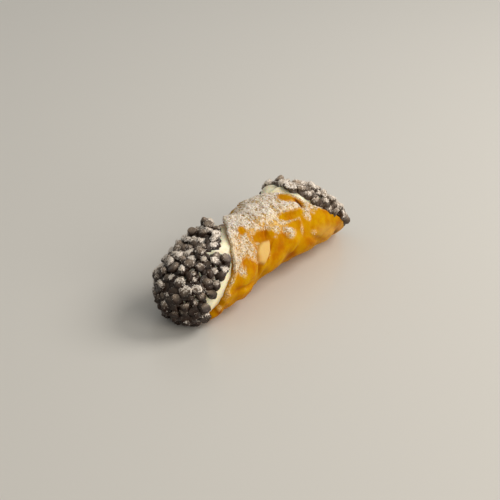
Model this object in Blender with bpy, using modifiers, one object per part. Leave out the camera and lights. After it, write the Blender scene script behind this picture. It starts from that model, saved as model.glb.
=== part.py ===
# Filled pastry tube lying on its side. A rounded square of dough is rolled corner to corner round a
# tube, cream is piped right through it, and each end of the cream is pressed into small chips.
# Metres, +X along the tube, +Z up. Angles round the tube start at the front (-Y) and rise to the top.
import math

import bmesh
import bpy
from mathutils import Vector

MM = 0.001

# dough sheet
BORE = 15.0 * MM
WALL = 2.0 * MM
AXIS_HEIGHT = 16.7 * MM
MIDDLE = 2.6 * MM
SIDEWAYS = -0.4 * MM
LONG_LINE = math.radians(-70)
WRAP = math.radians(218)
LAP_GAP = 0.35 * MM
LAP_START = math.radians(112)
LAP_END = math.radians(143)
GRID = 32

# each end of the sheet: half length at the long line, how full its outline is, how blunt its point is
SHEET_LEFT = {"side": -1, "half": 52.5 * MM, "full": 1.33, "blunt": 0.10}
SHEET_RIGHT = {"side": 1, "half": 66.0 * MM, "full": 1.02, "blunt": 0.15}

# swelling of the crust where the dough blistered
SWELL = 0.55 * MM
SWELL_PITCH = 17.0 * MM

# low in front the tube draws in at its middle
DENT = 1.9 * MM
DENT_ANGLE = math.radians(-38)
DENT_HALF = math.radians(24)
DENT_X = 1.0 * MM
DENT_LENGTH = 21.0 * MM

# humps on the ends: height, the angle and share where they are highest, how far they spread in each
LEFT_HUMP = {"height": 2.2 * MM, "angle": math.radians(112), "wide": math.radians(24), "share": 0.18, "long": 0.13}
RIGHT_HUMP = {"height": 3.4 * MM, "angle": math.radians(130), "wide": math.radians(34), "share": 0.18, "long": 0.26}
LEFT_HEAP = {"height": 4.0 * MM, "angle": math.radians(108), "wide": math.radians(22), "share": 0.19, "long": 0.12}
RIGHT_HEAP = {"height": 0.8 * MM, "angle": math.radians(0), "wide": math.radians(30), "share": 0.36, "long": 0.20}

# cream and its two bulging ends
FILL = 14.1 * MM
LEFT_END = {"sheet": SHEET_LEFT, "reach": 65.0 * MM, "radius": 16.6 * MM, "slant": 0.12,
            "fall": math.radians(5), "full": 2.1, "bare": 6.0 * MM, "hump": LEFT_HUMP, "heap": LEFT_HEAP}
RIGHT_END = {"sheet": SHEET_RIGHT, "reach": 52.3 * MM, "radius": 17.0 * MM, "slant": 0.70,
             "fall": math.radians(-72), "full": 2.8, "bare": 4.6 * MM, "hump": RIGHT_HUMP, "heap": RIGHT_HEAP}
SETBACK = 0.6 * MM
RISE = 7.0 * MM
CREAM_SEGMENTS = 32
CREAM_ROWS = 38
TUBE_SHARE = 0.20

# chips pressed into the cream
COAT = 3.0 * MM
COAT_GAP = 0.65 * MM
COAT_UNEVEN = 0.4 * MM
COAT_SEGMENTS = 32
COAT_ROWS = 22
FLOOR_GAP = 0.3 * MM

CRUST_COLOUR = (0.48, 0.21, 0.012)
CREAM_COLOUR = (0.78, 0.66, 0.42)
CHIP_COLOUR = (0.075, 0.048, 0.032)


def smooth(value, low, high):
    t = min(max((value - low) / (high - low), 0.0), 1.0)
    return t * t * (3.0 - 2.0 * t)


def place(x, angle, radius, lowest=0.0):
    # point at a distance along the tube, an angle round it and a radius from its axis
    z = AXIS_HEIGHT + radius * math.sin(angle)
    return Vector((x + MIDDLE, SIDEWAYS - radius * math.cos(angle), max(z, lowest)))


def blunted(along, across, sheet):
    # takes the sharp point off a corner of the sheet with a parabola
    short = max(0.0, 1.0 - abs(across) / sheet["blunt"])
    return along * (1.0 - 0.5 * sheet["blunt"] * short * short)


def rim(sheet, angle):
    # half length of the rolled sheet at an angle, from its outline |a|^n + |b|^n = 1
    turn = abs(math.remainder(angle - LONG_LINE, 2.0 * math.pi)) / WRAP
    along = (1.0 - turn ** sheet["full"]) ** (1.0 / sheet["full"])
    return sheet["half"] * blunted(along, turn, sheet)


def lift(turn):
    # the layer that finishes on the outside of the lap rides over the one under it
    return (WALL + LAP_GAP) * smooth(turn, LAP_START, LAP_END)


def swell(x, turn):
    # low blisters, none where one layer lies on the other
    free = 1.0 - smooth(abs(turn), math.radians(105), math.radians(125))
    wave = math.sin(x * 2.0 * math.pi / SWELL_PITCH + 1.7 * turn)
    wave += 0.6 * math.sin(x * 2.0 * math.pi / (1.6 * SWELL_PITCH) - 2.9 * turn + 1.0)
    return SWELL * free * (0.8 + wave) / 1.6


def dent(x, angle):
    # how far the tube is drawn in towards its axis
    apart = math.remainder(angle - DENT_ANGLE, 2.0 * math.pi)
    return DENT * math.exp(-(apart / DENT_HALF) ** 2 - ((x - DENT_X) / DENT_LENGTH) ** 2)


def mound(shape, share, angle):
    # height of a hump at a share along an end and an angle round it, none at the rim of the pastry
    apart = math.remainder(angle - shape["angle"], 2.0 * math.pi) / shape["wide"]
    away = (share - shape["share"]) / shape["long"]
    return shape["height"] * math.exp(-apart * apart - away * away) * smooth(share, 0.0, 0.05)


def make_object(name, bm, material, collection):
    mesh = bpy.data.meshes.new(name)
    bm.to_mesh(mesh)
    bm.free()
    mesh.materials.append(material)
    obj = bpy.data.objects.new(name, mesh)
    collection.objects.link(obj)
    for face in mesh.polygons:
        face.use_smooth = True
    return obj


def make_material(name, colour, roughness, scatter=0.0):
    mat = bpy.data.materials.new(name)
    mat.use_nodes = True
    shader = mat.node_tree.nodes["Principled BSDF"]
    shader.inputs["Base Color"].default_value = (*colour, 1.0)
    shader.inputs["Roughness"].default_value = roughness
    shader.inputs["Metallic"].default_value = 0.0
    shader.inputs["Subsurface Weight"].default_value = scatter
    return mat


def sheet_point(u, v):
    # a square grid turned on its corner, its outline rounded, then rolled round the tube
    along = 0.5 * (u + v)
    across = 0.5 * (u - v)
    sheet = SHEET_RIGHT if along > 0.0 else SHEET_LEFT
    n = sheet["full"]
    reach = abs(along) + abs(across)
    if reach > 0.0:
        scale = reach / (abs(along) ** n + abs(across) ** n) ** (1.0 / n)
        along *= scale
        across *= scale
    x = sheet["half"] * blunted(along, across, sheet)
    turn = WRAP * across
    angle = LONG_LINE + turn
    radius = BORE + WALL + lift(turn) + swell(x, turn) - dent(x, angle)
    return place(x, angle, radius)


def face_outwards(bm):
    # a sheet faces away from the tube's axis, a closed body has a positive volume
    bm.normal_update()
    if any(edge.is_boundary for edge in bm.edges):
        axis = Vector((MIDDLE, 0.0, AXIS_HEIGHT))
        out = sum(face.normal.dot(face.calc_center_median() - axis) for face in bm.faces)
    else:
        out = bm.calc_volume(signed=True)
    if out < 0.0:
        bmesh.ops.reverse_faces(bm, faces=bm.faces)


def make_pastry(collection, material):
    bm = bmesh.new()
    bmesh.ops.create_grid(bm, x_segments=GRID, y_segments=GRID, size=1.0)
    for vert in bm.verts:
        vert.co = sheet_point(vert.co.x, vert.co.y)
    face_outwards(bm)
    obj = make_object("pastry_shell", bm, material, collection)
    thick = obj.modifiers.new("wall", "SOLIDIFY")
    thick.thickness = WALL
    thick.offset = -1.0
    thick.use_even_offset = False
    return obj


def bulge(end, share, angle):
    # piped end of the cream: share 0 at the rim of the pastry and 1 at the tip. A superellipse whose
    # flat end leans, rising from the bore to its full radius over a few millimetres, with a hump on one side.
    th = 0.5 * math.pi * (1.0 - share)
    power = 2.0 / end["full"]
    full = math.sin(th) ** power
    start = rim(end["sheet"], angle) - SETBACK
    tip = end["reach"] + end["slant"] * full * end["radius"] * math.cos(angle - end["fall"])
    x = start + (tip - start) * math.cos(th) ** power
    open_radius = FILL + (end["radius"] - FILL) * smooth(x, start, start + RISE)
    return x * end["sheet"]["side"], full * (open_radius + mound(end["hump"], share, angle))


def bulge_point(end, share, angle, height, lowest):
    # point standing off the cream along the normal of its surface
    step = 0.004
    point = place(*bulge_place(end, share, angle))
    if share > 0.999:
        lean = Vector((0.0, math.cos(end["fall"]), -math.sin(end["fall"]))) * end["slant"]
        normal = Vector((end["sheet"]["side"], 0.0, 0.0)) + lean
    else:
        near = place(*bulge_place(end, share - step, angle))
        far = place(*bulge_place(end, min(share + step, 0.9999), angle))
        left = place(*bulge_place(end, share, angle - step))
        right = place(*bulge_place(end, share, angle + step))
        normal = (far - near).cross(right - left) * end["sheet"]["side"]
    point += normal.normalized() * height
    point.z = max(point.z, lowest)
    return point


def make_cream(collection, material):
    bm = bmesh.new()
    bmesh.ops.create_uvsphere(bm, u_segments=CREAM_SEGMENTS, v_segments=CREAM_ROWS, radius=1.0)
    for vert in bm.verts:
        polar = math.acos(max(-1.0, min(1.0, vert.co.z))) / math.pi
        angle = math.atan2(vert.co.y, vert.co.x)
        station = 1.0 - 2.0 * polar
        end = RIGHT_END if station > 0.0 else LEFT_END
        share = (abs(station) - TUBE_SHARE) / (1.0 - TUBE_SHARE)
        if share <= 0.0:
            start = (rim(end["sheet"], angle) - SETBACK) * end["sheet"]["side"]
            x = start * abs(station) / TUBE_SHARE
            radius = FILL - dent(x, angle)
        else:
            x, radius = bulge(end, share, angle)
        vert.co = place(x, angle, radius, FLOOR_GAP + WALL)
    face_outwards(bm)
    return make_object("cream_filling", bm, material, collection)


def bulge_place(end, share, angle):
    x, radius = bulge(end, share, angle)
    return x, angle, radius, -1.0


def coat_edge(end, angle):
    # share of the bulge where the chips begin, found by walking an uneven band of bare cream from the rim
    band = end["bare"] * (1.0 + 0.22 * math.sin(3.0 * angle + 0.6) + 0.14 * math.sin(7.0 * angle))
    share = 0.0
    last = bulge(end, share, angle)
    while band > 0.0 and share < 0.7:
        share += 0.01
        here = bulge(end, share, angle)
        band -= math.dist(last, here)
        last = here
    return share


def coat_depth(end, share, angle):
    # the chips stand up to uneven heights, and lie two deep on one side
    lumps = math.sin(8.0 * angle + 14.0 * share) + math.sin(5.0 * angle - 21.0 * share + 2.0)
    return COAT + COAT_UNEVEN * lumps * math.sin(math.pi * share) + mound(end["heap"], share, angle)


def make_coat(name, end, collection, material):
    bm = bmesh.new()
    bmesh.ops.create_uvsphere(bm, u_segments=COAT_SEGMENTS, v_segments=COAT_ROWS, radius=1.0)
    for vert in bm.verts:
        polar = math.acos(max(-1.0, min(1.0, vert.co.z))) / math.pi
        angle = math.atan2(vert.co.y, vert.co.x)
        outer = polar <= 0.5 + 1e-6
        edge = coat_edge(end, angle)
        away = 1.0 - 2.0 * polar if outer else 2.0 * polar - 1.0
        share = edge + (1.0 - edge) * away
        depth = COAT_GAP
        if outer:
            rounding = math.sqrt(1.0 - (1.0 - min(away / 0.30, 1.0)) ** 2)
            depth += 0.25 * COAT + (coat_depth(end, share, angle) - 0.25 * COAT) * rounding
        lowest = FLOOR_GAP + (0.0 if outer else WALL - COAT_GAP)
        vert.co = bulge_point(end, share, angle, depth, lowest)
    face_outwards(bm)
    return make_object(name, bm, material, collection)


def main():
    for obj in list(bpy.data.objects):
        bpy.data.objects.remove(obj)
    collection = bpy.data.collections.new("filled_pastry_tube")
    bpy.context.scene.collection.children.link(collection)
    crust = make_material("fried_pastry", CRUST_COLOUR, 0.42)
    cream = make_material("piped_cream", CREAM_COLOUR, 0.45, 0.2)
    chips = make_material("dark_chips", CHIP_COLOUR, 0.5)
    make_pastry(collection, crust)
    make_cream(collection, cream)
    make_coat("chip_coat_left", LEFT_END, collection, chips)
    make_coat("chip_coat_right", RIGHT_END, collection, chips)


main()
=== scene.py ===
import math

import bpy
import numpy as np
from mathutils import Matrix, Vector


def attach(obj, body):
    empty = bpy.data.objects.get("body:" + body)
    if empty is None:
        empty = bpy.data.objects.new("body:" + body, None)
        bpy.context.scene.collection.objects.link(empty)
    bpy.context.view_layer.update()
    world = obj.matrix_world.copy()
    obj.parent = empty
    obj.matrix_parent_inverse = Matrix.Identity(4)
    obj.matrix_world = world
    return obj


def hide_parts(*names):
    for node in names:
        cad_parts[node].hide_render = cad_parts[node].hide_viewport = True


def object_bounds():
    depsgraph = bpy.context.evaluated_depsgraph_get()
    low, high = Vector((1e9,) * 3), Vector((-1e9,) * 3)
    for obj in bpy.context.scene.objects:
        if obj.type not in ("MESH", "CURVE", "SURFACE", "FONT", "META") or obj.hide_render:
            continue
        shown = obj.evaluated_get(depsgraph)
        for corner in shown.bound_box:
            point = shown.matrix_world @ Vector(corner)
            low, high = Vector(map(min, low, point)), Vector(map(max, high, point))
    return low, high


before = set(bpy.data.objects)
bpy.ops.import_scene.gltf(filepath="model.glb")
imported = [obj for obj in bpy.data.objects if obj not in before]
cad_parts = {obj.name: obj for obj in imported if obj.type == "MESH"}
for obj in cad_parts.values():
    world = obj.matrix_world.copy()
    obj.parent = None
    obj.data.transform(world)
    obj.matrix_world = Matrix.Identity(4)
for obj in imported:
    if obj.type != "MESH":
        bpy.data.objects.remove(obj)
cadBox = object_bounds()
mm = 0.001                                   # every size below is in millimetres until a mesh is made
print("frame loaded")


def linearColour(hexCode):
    # sRGB hex to linear: c / 12.92 below 0.04045, otherwise ((c + 0.055) / 1.055) to the power 2.4
    channels = [int(hexCode[i:i + 2], 16) / 255.0 for i in (0, 2, 4)]
    return (*[c / 12.92 if c <= 0.04045 else ((c + 0.055) / 1.055) ** 2.4 for c in channels], 1.0)


def setInputs(tree, node, inputs):
    # each input takes either a fixed value or a link from a socket
    for name, value in inputs.items():
        if isinstance(value, bpy.types.NodeSocket):
            tree.links.new(value, node.inputs[name])
        else:
            node.inputs[name].default_value = value


def addNode(tree, kind, inputs=None, stops=(), **settings):
    # one shader node with its settings, inputs and links, and a ramp's stops as (position, hex colour) pairs
    node = tree.nodes.new(kind)
    for name, value in settings.items():
        setattr(node, name, value)
    setInputs(tree, node, inputs or {})
    if stops:
        while len(node.color_ramp.elements) < len(stops):
            node.color_ramp.elements.new(0.5)
        for element, (position, hexCode) in zip(node.color_ramp.elements, stops):
            element.position = position
            element.color = linearColour(hexCode)
    return node


def newMaterial(name):
    # an empty material, its node tree, its Principled shader and the place on the piece, in metres
    material = bpy.data.materials.new(name)
    material.use_nodes = True
    tree = material.node_tree
    shader = next(node for node in tree.nodes if node.type == "BSDF_PRINCIPLED")
    return material, tree, shader, addNode(tree, "ShaderNodeTexCoord").outputs["Object"]


def smoothStep(value, low, high):
    # 0 below low, 1 above high, and t^2 (3 - 2 t) between them
    t = np.clip((value - low) / (high - low), 0.0, 1.0)
    return t * t * (3.0 - 2.0 * t)


def unit(vectors):
    # the same directions at length 1
    return vectors / np.maximum(np.linalg.norm(vectors, axis=-1, keepdims=True), 1e-9)


def latticeNoise(x, y, seed):
    # value noise from -1 to 1: random heights at whole-number points, joined by smoothsteps
    size = 128                               # the noise repeats after this many points
    table = np.random.default_rng(seed).uniform(-1.0, 1.0, (size, size))
    column, row = np.floor(x).astype(int), np.floor(y).astype(int)
    fx, fy = smoothStep(x - column, 0.0, 1.0), smoothStep(y - row, 0.0, 1.0)
    left, right = column % size, (column + 1) % size
    low, high = [table[left, r % size] * (1 - fx) + table[right, r % size] * fx for r in (row, row + 1)]
    return low * (1 - fy) + high * fy


def layeredNoise(x, y, size, seed, layers=2):
    # lattice noise summed over layers, each turned, half the size and half as strong as the last
    total, height, weight = 0.0, 1.0, 0.0
    for layer in range(layers):
        c, s = math.cos(1.1 * layer + 0.4), math.sin(1.1 * layer + 0.4)
        across, up = (c * x - s * y) / size + 31.7, (s * x + c * y) / size + 17.3
        total = total + height * latticeNoise(across, up, seed + layer)
        weight += height
        height *= 0.5
        size *= 0.5
    return total / weight


def gridFaces(rows, columns, closed=False, first=0, flip=False):
    # quads between neighbouring points of a grid, joined round its columns when closed
    wide = columns if closed else columns - 1
    row, column = np.meshgrid(np.arange(rows - 1), np.arange(wide), indexing="ij")
    here, beside = row * columns + column, row * columns + (column + 1) % columns
    quads = np.stack([here, beside, beside + columns, here + columns], -1).reshape(-1, 4)
    return (quads[:, ::-1] if flip else quads) + first


def meshObject(name, points, faceSets, material, attributes=None, flat=0):
    # a mesh from points in millimetres and arrays of faces, each array with one number of corners; the last
    # few, as many as flat says, are not smoothed
    mesh = bpy.data.meshes.new(name)
    corners = np.concatenate([faces.ravel() for faces in faceSets]).astype(np.int32)
    sizes = np.concatenate([np.full(len(faces), faces.shape[1]) for faces in faceSets]).astype(np.int32)
    mesh.vertices.add(len(points))
    mesh.vertices.foreach_set("co", (points * mm).astype(np.float32).ravel())
    mesh.loops.add(len(corners))
    mesh.loops.foreach_set("vertex_index", corners)
    mesh.polygons.add(len(sizes))
    mesh.polygons.foreach_set("loop_start", np.concatenate([[0], np.cumsum(sizes)[:-1]]).astype(np.int32))
    mesh.update(calc_edges=True)
    mesh.polygons.foreach_set("use_smooth", np.arange(len(sizes)) < len(sizes) - flat)
    for attribute, values in (attributes or {}).items():
        mesh.attributes.new(attribute, "FLOAT", "POINT").data.foreach_set("value", values.astype(np.float32))
    mesh.validate()
    mesh.materials.append(material)
    obj = bpy.data.objects.new(name, mesh)
    bpy.context.scene.collection.objects.link(obj)
    return obj


# the roll, which the pastry, the cream and the chips all follow, in millimetres and degrees
roll = {
    "bore": 15.0, "wall": 2.0,               # radius inside the tube and thickness of the dough
    "axisHeight": 16.7, "middle": 2.6, "sideways": -0.4,
    "longLine": -70.0, "wrap": 218.0,        # where the long corners lie and how far the dough wraps
    "lapGap": 0.35, "lapStart": 112.0, "lapEnd": 143.0,
    # each half of the sheet: its length, the power of its outline, how blunt its corner is, and the tongues
    # and notches of its rim: how far out, angle, width
    "left": {"side": -1, "half": 52.5, "full": 1.33, "blunt": 0.10,
             "tongues": [(1.3, 68, 20), (-1.0, 25, 16), (1.2, 104, 13)]},
    "right": {"side": 1, "half": 66.0, "full": 1.02, "blunt": 0.15,
              "tongues": [(2.0, -18, 28), (-3.2, 55, 36)]},
    # how far the rim wanders from its smooth line, and the sines it follows: size, waves round the tube,
    # shift
    "ragged": 0.9, "sines": [(0.5, 5, 1.0), (0.3, 9, 2.2), (0.26, 16, 0.4), (0.26, 27, 3.0), (0.16, 43, 0.0)],
    # where the back of the left end is pressed in: x, angle, length, width, tilt, depth, flatness
    "pressed": [(-12, 136, 19, 24, 0, 3.2, 1.3), (1, 146, 16, 18, 0, 2.1, 1.3)],
}


def wrapped(angle):
    # the same angle between -180 and 180 degrees
    return (angle + 180.0) % 360.0 - 180.0


def arcLength(angle):
    # millimetres round the outside of the tube for an angle
    return np.radians(angle) * (roll["bore"] + roll["wall"])


def placeOnRoll(x, angle, radius):
    # x along the tube, angle a from the front upwards, radius r: (x, -r cos a, r sin a) off its axis
    x, angle, radius = np.broadcast_arrays(x, np.radians(angle), radius)
    return np.stack([x + roll["middle"], roll["sideways"] - radius * np.cos(angle),
                     roll["axisHeight"] + radius * np.sin(angle)], -1)


def blunted(along, across, sheet):
    # a parabola takes the sharp point off a corner of the sheet
    short = np.maximum(0.0, 1.0 - np.abs(across) / sheet["blunt"])
    return along * (1.0 - 0.5 * sheet["blunt"] * short ** 2)


def sheetEdge(sheet, across):
    # half length of the sheet at a share of its half width, from its outline |a|^n + |b|^n = 1
    along = np.maximum(1.0 - across ** sheet["full"], 0.0) ** (1.0 / sheet["full"])
    return sheet["half"] * blunted(along, across, sheet)


def rimDistance(sheet, angle):
    # half length of the rolled sheet at an angle round the tube
    return sheetEdge(sheet, np.abs(wrapped(angle - roll["longLine"])) / roll["wrap"])


def rimWander(angle, side):
    # how far the rim strays along the tube: a few sines that do not line up, and bell-shaped tongues and
    # notches
    a = np.radians(angle)
    stray = roll["ragged"] * sum(size * np.sin(waves * a + shift) for size, waves, shift in roll["sines"])
    left, right = [sum(size * np.exp(-((angle - middle) / wide) ** 2) for size, middle, wide in tongues)
                   for tongues in (roll["left"]["tongues"], roll["right"]["tongues"])]
    return stray + np.where(side > 0, right, left)


def underLap(x, turn):
    # 1 where the outer layer of the lap lies over this point of the inner layer
    across = np.clip(turn + 360.0, 0.0, roll["wrap"]) / roll["wrap"]
    covered = np.zeros_like(x)
    for sheet in (roll["left"], roll["right"]):
        over = smoothStep(sheetEdge(sheet, across) - np.abs(x), -0.5, 1.5)
        covered = np.where(np.sign(x) == sheet["side"], over, covered)
    return covered * (turn + 360.0 < roll["wrap"])


# ovals are x, angle, length, width, tilt, amount, and a flatness that is 1.5 unless it is given
pastry = {
    "cells": 214, "edgeCrowding": 0.35,      # grid across the sheet, and how much finer it is at the rim
    "halfSheet": 60.0, "rimRound": 0.95,     # rim to middle of the sheet, and how far its edge is rounded
    "seed": 11,
    # a flake of dough standing proud: its corners as (x, angle), and its height
    "flake": [(-21.6, 14), (-20.6, 28), (-17.4, 35), (-14.2, 37.5), (-9.4, 34.5), (-11.4, 20), (-17.2, 5)],
    "flakeHeight": 1.1,
    "blisters": [
        (-30, 4, 15, 9, 20, 1.7, 1.7), (-36, -46, 12, 8, 0, 1.5, 1.6), (-30, -27, 15, 9.5, -15, 2.2, 1.7),
        (-33.5, 24, 7, 4, -60, 0.6), (-26, 76, 13, 10, 0, 0.6), (-6, 66, 14, 7, -25, 0.7, 1.6),
        (-5, -10, 15, 12, 20, 1.6, 1.6), (-4, 30, 11, 9, 60, 1.0, 1.6), (5.0, 27, 7.8, 4.6, -30, 1.4, 1.8),
        (6, 8, 12, 9, 10, 1.3, 1.6), (14, 58, 14, 4.4, -10, 1.2, 2.0), (22, 38, 8, 5.5, 15, 0.8, 1.6),
        (15, 30, 3.4, 9, 8, 0.6), (30, 14, 20, 14, -25, 1.3, 1.9), (19, -14, 17, 11, 10, 1.8, 1.7),
        (39, -24, 13, 10, -20, 1.4, 1.6), (52, -33, 12, 9, 30, 1.0, 1.6), (30, 42, 14, 8, -35, 1.1, 1.6),
        (44, 0, 18, 10, -30, 0.9, 1.8), (36, -22, 14, 9, -20, 0.9, 1.7), (-18, 104, 7, 8, 0, 1.1, 1.6),
        (2.5, 121, 7, 6, 0, 1.5, 1.6), (-45, -12, 8, 6, 20, 0.8), (-41, -30, 9, 6, -20, 0.9),
        (-47.5, -33, 5, 4, 20, 0.9), (-46, -46, 12, 9, 0, 1.9, 1.6), (45, -31, 5, 3, 20, 0.7),
        (39, -27, 5, 3, 0, 0.6), (-43.6, -25, 4.4, 3.6, -20, 0.8), (-36.5, -34, 8, 6, 10, 0.9, 1.6),
        (23.5, 4.5, 8, 4.4, -25, 0.8, 1.6), (33, 0, 7, 4.4, -25, 0.7, 1.6), (-12, 100, 18, 12, 0, 0.55),
        (6, 98, 14, 10, 0, 0.5)],
    # the first dimple draws the underside in at the middle
    "dimples": [
        (2, -42, 42, 25, 0, 2.1, 1.3), (-12.2, 43.5, 9.6, 5.6, 0, 0.65, 2.2),
        (-22.5, 66.5, 4.4, 3.6, 0, 0.5, 1.8), (16.2, 75.5, 9.0, 6.0, -35, 1.5, 3.0),
        (20.8, 58.0, 2.8, 5.4, 25, 1.2, 1.8), (12, 114, 17, 26, 0, 0.5), (12, 47.5, 15, 3.0, -12, 0.5, 2.2),
        (-12, 68, 5, 2.2, 50, 0.6), (-19.9, 0, 2.0, 8, 8, 0.9, 1.6), (-8.6, 47, 1.6, 6, -30, 0.4),
        (-11.2, 17, 10, 1.7, 50, 0.7), (-30.5, -12, 15, 2.0, -12, 0.7, 1.6), (8.6, -24, 4, 9, 0, 0.8),
        (31.5, -25, 4, 8, 0, 0.8), (47, -36, 3.6, 8, 0, 0.8), (-15, -22, 4, 9, 0, 0.9),
        (23, 22, 2.5, 10, -30, 0.5), (27, -11, 18, 2.6, -30, 1.0)],
    # the rest of the crust: how many blisters, their length from and to, height as a share of length
    "scattered": {"count": 110, "from": 6.5, "to": 15.0, "height": 0.09, "flatness": 1.4},
    "bubbles": {"count": 420, "from": 1.8, "to": 4.5, "height": 0.095, "flatness": 1.3},
    "join": 4.0,                             # how sharply neighbouring blisters meet
    "swell": 0.40, "swellSize": 13.0,
    "ripple": 0.22, "rippleSize": 2.8,       # ripple under the sugar; the bare crust has under half of it
    "net": 0.26, "netSize": 1.8,             # height and size of the net of ridges in the sugar
    # wrinkles that run round the tube on its top: height, size along the tube, how many times longer they
    # are round it
    "wrinkle": 0.45, "wrinkleSize": 2.3, "wrinkleLong": 4.5,
    # sugar: the cover of a face that looks up, how far up a face looks when sugar starts to lie and when it
    # lies fully, how strongly noise tears it, and how it clings to the rim
    "cover": 0.70, "facing": (0.46, 0.90), "torn": 0.22, "tornSize": 6.0, "cling": 0.5,
    "clumps": (0.95, 0.38, 0.30, 0.30),      # what cover, net, noise and wrinkles each add to the clumps
    # how much darker the crust is painted in its creases and underneath, as painted shade, how brown it is in
    # blotches, and how dark along its left and right rims, from browning and painted shade
    "creaseShade": 0.34, "undersideShade": 0.14, "blotchBrown": 0.15, "rimBrownAndShade": (0.3, 0.12),
    # where sugar is missing, heaped, or heaped thicker than the rest may be; where the crust is paler, as
    # painted bounce light; and where it is darker, from browning and burn spots and from painted shade in
    # creases, slits and on lower facets
    "bare": [
        (-11.3, 43.5, 11.6, 5.0, -8, 1.3, 2.5), (-22.5, 66.5, 4.4, 3.4, 0, 1.0, 2),
        (16.2, 75.5, 9.0, 5.8, -35, 0.60, 2.5), (20.8, 58.0, 2.6, 6.0, 25, 1.2, 2),
        (12, 47.5, 15, 3.3, -12, 1.2, 2.5), (-27, 8, 9, 13, 20, 0.7, 1.8), (33, 10, 22, 12, -25, 0.8),
        (-3, 24, 10, 8, 0, 0.5), (-21.0, 48, 5, 11, 20, 0.2), (-12, 70, 7, 5, 20, 0.25),
        (6.0, 37.5, 10, 3.6, 0, 0.5), (-3, 45, 8, 7, 0, 0.16), (-1, 44, 6, 5, 0, 0.2),
        (-8, 74, 9, 7, 0, 0.15)],
    "heaped": [
        (-27.5, 48, 12.5, 14, 0, 0.37, 2.5), (-34.4, 21.0, 9.5, 4.2, -60, 1.0, 1.6),
        (4.5, 45.5, 9, 3.6, -25, 0.36), (4.8, 27, 7.8, 4.2, -30, 0.62, 1.6),
        (14, 58.5, 14, 3.4, -10, 0.85, 2), (21.4, 33.5, 7.6, 3.8, -48, 0.75, 1.6), (26, 44, 15, 9, -35, 0.28),
        (-4.0, 34, 6, 10, -10, 0.24), (-18, 60, 9, 8, 0, 0.1, 2.0), (-22, 84, 12, 11, 0, 0.42),
        (-7, 60, 14, 8, -20, 0.42, 2), (-4, 100, 20, 16, 0, 0.12), (-1, 62, 8, 7, 0, 0.2),
        (-23.5, 33, 6.5, 13, 10, 0.5, 1.8), (15, 22, 2.4, 9, -10, 0.2), (24, 8, 4, 3, 0, 0.2),
        (27.5, 44, 9, 7, -40, 0.42), (23.5, 5.5, 7.5, 3.6, -25, 0.50), (32.6, 0.5, 6.0, 3.4, -25, 0.46),
        (34, 23, 14, 7, -30, 0.16), (-25.5, 78, 8, 10, 0, 0.25)],
    "thick": [(-24.5, 80, 9, 12, 0, 0.22), (-6, 100, 14, 10, 0, 0.2), (-30, 62, 5, 12, 0, 0.12)],
    # pale ovals low on the right end: painted bounce light
    "paleAndPaintedLight": [(44, -28, 26, 9, 0, 0.22), (34, -6, 18, 6, -20, 0.28), (51, -20, 9, 12, 0, 0.12)],
    "brownedAndShaded": [
        (21.2, 57.5, 2.2, 6.2, 25, 1.6, 2), (-20.4, -1, 2.6, 8.0, 8, 0.6, 2), (-44, -44, 12, 8, 0, 0.7),
        (47.5, -34, 6.0, 2.6, 20, 0.95), (-12, 68, 5, 1.8, 50, 0.8), (-11.0, 17, 11, 0.9, 50, 0.9, 2),
        (-8.4, 47, 1.0, 6, -30, 0.6, 2), (8.6, -26, 4, 8, 0, 0.5), (15.6, 75.5, 6.4, 5.4, -35, 0.15, 2),
        (-2, 20, 8, 8, 0, 0.3), (17, -6, 15, 4.6, -15, 0.3), (8.5, -18, 9, 4, 0, 0.3),
        (19, -28, 14, 6, 5, 0.25), (22.5, -10, 13, 5.0, -30, 0.5, 1.8), (-7, 0, 10, 7, 20, 0.22),
        (-30.5, -12, 15, 2.0, -12, 0.5, 1.6), (-28, -30, 10, 6, -15, 0.4, 1.6), (-31, 16, 7, 12, 20, 0.2),
        (-47, -34, 2.6, 2.0, 20, 0.8), (-44, -24, 2.2, 1.6, -30, 0.6), (-42.4, -33, 3.4, 1.6, 10, 0.6),
        (37, -20, 6, 2.2, 15, 0.6), (49, -28, 2.6, 7.0, 0, 0.85, 1.8)],
    # colours of the crust, and the sizes of its blotches, of its specks and of the threads in the sugar
    "crust": [(0.36, "b36d00"), (0.5, "bf8500"), (0.64, "c69400")],
    "blotchSize": 9.0, "speckSize": 0.8, "threadSize": 1.6,
}


def ovalBump(x, angle, shape):
    # exp(-q^flatness), q the squared distance from the middle of a turned oval with the given full length
    # and width
    middle, middleAngle, length, width, tilt, height, flatness = (*shape, 1.5)[:7]
    away, up = x - middle, arcLength(wrapped(angle - middleAngle))
    c, s = math.cos(math.radians(tilt)), math.sin(math.radians(tilt))
    q = ((c * away + s * up) / (0.5 * length)) ** 2 + ((c * up - s * away) / (0.5 * width)) ** 2
    return height * np.exp(-np.minimum(q, 30.0) ** flatness)


def sumOfOvals(x, angle, shapes):
    # the ovals added together
    return sum(ovalBump(x, angle, shape) for shape in shapes)


def insideFlake(x, angle):
    # millimetres inside the flake's straight edges, the least over its edges
    arc = arcLength(wrapped(angle))
    corners = [(cornerX, arcLength(cornerAngle)) for cornerX, cornerAngle in pastry["flake"]]
    inside = np.full(x.shape, 1e3)
    for (x0, y0), (x1, y1) in zip(corners, corners[1:] + corners[:1]):
        long = math.hypot(x1 - x0, y1 - y0)
        inside = np.minimum(inside, ((x - x0) * (y1 - y0) - (arc - y0) * (x1 - x0)) / long)
    return inside


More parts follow.
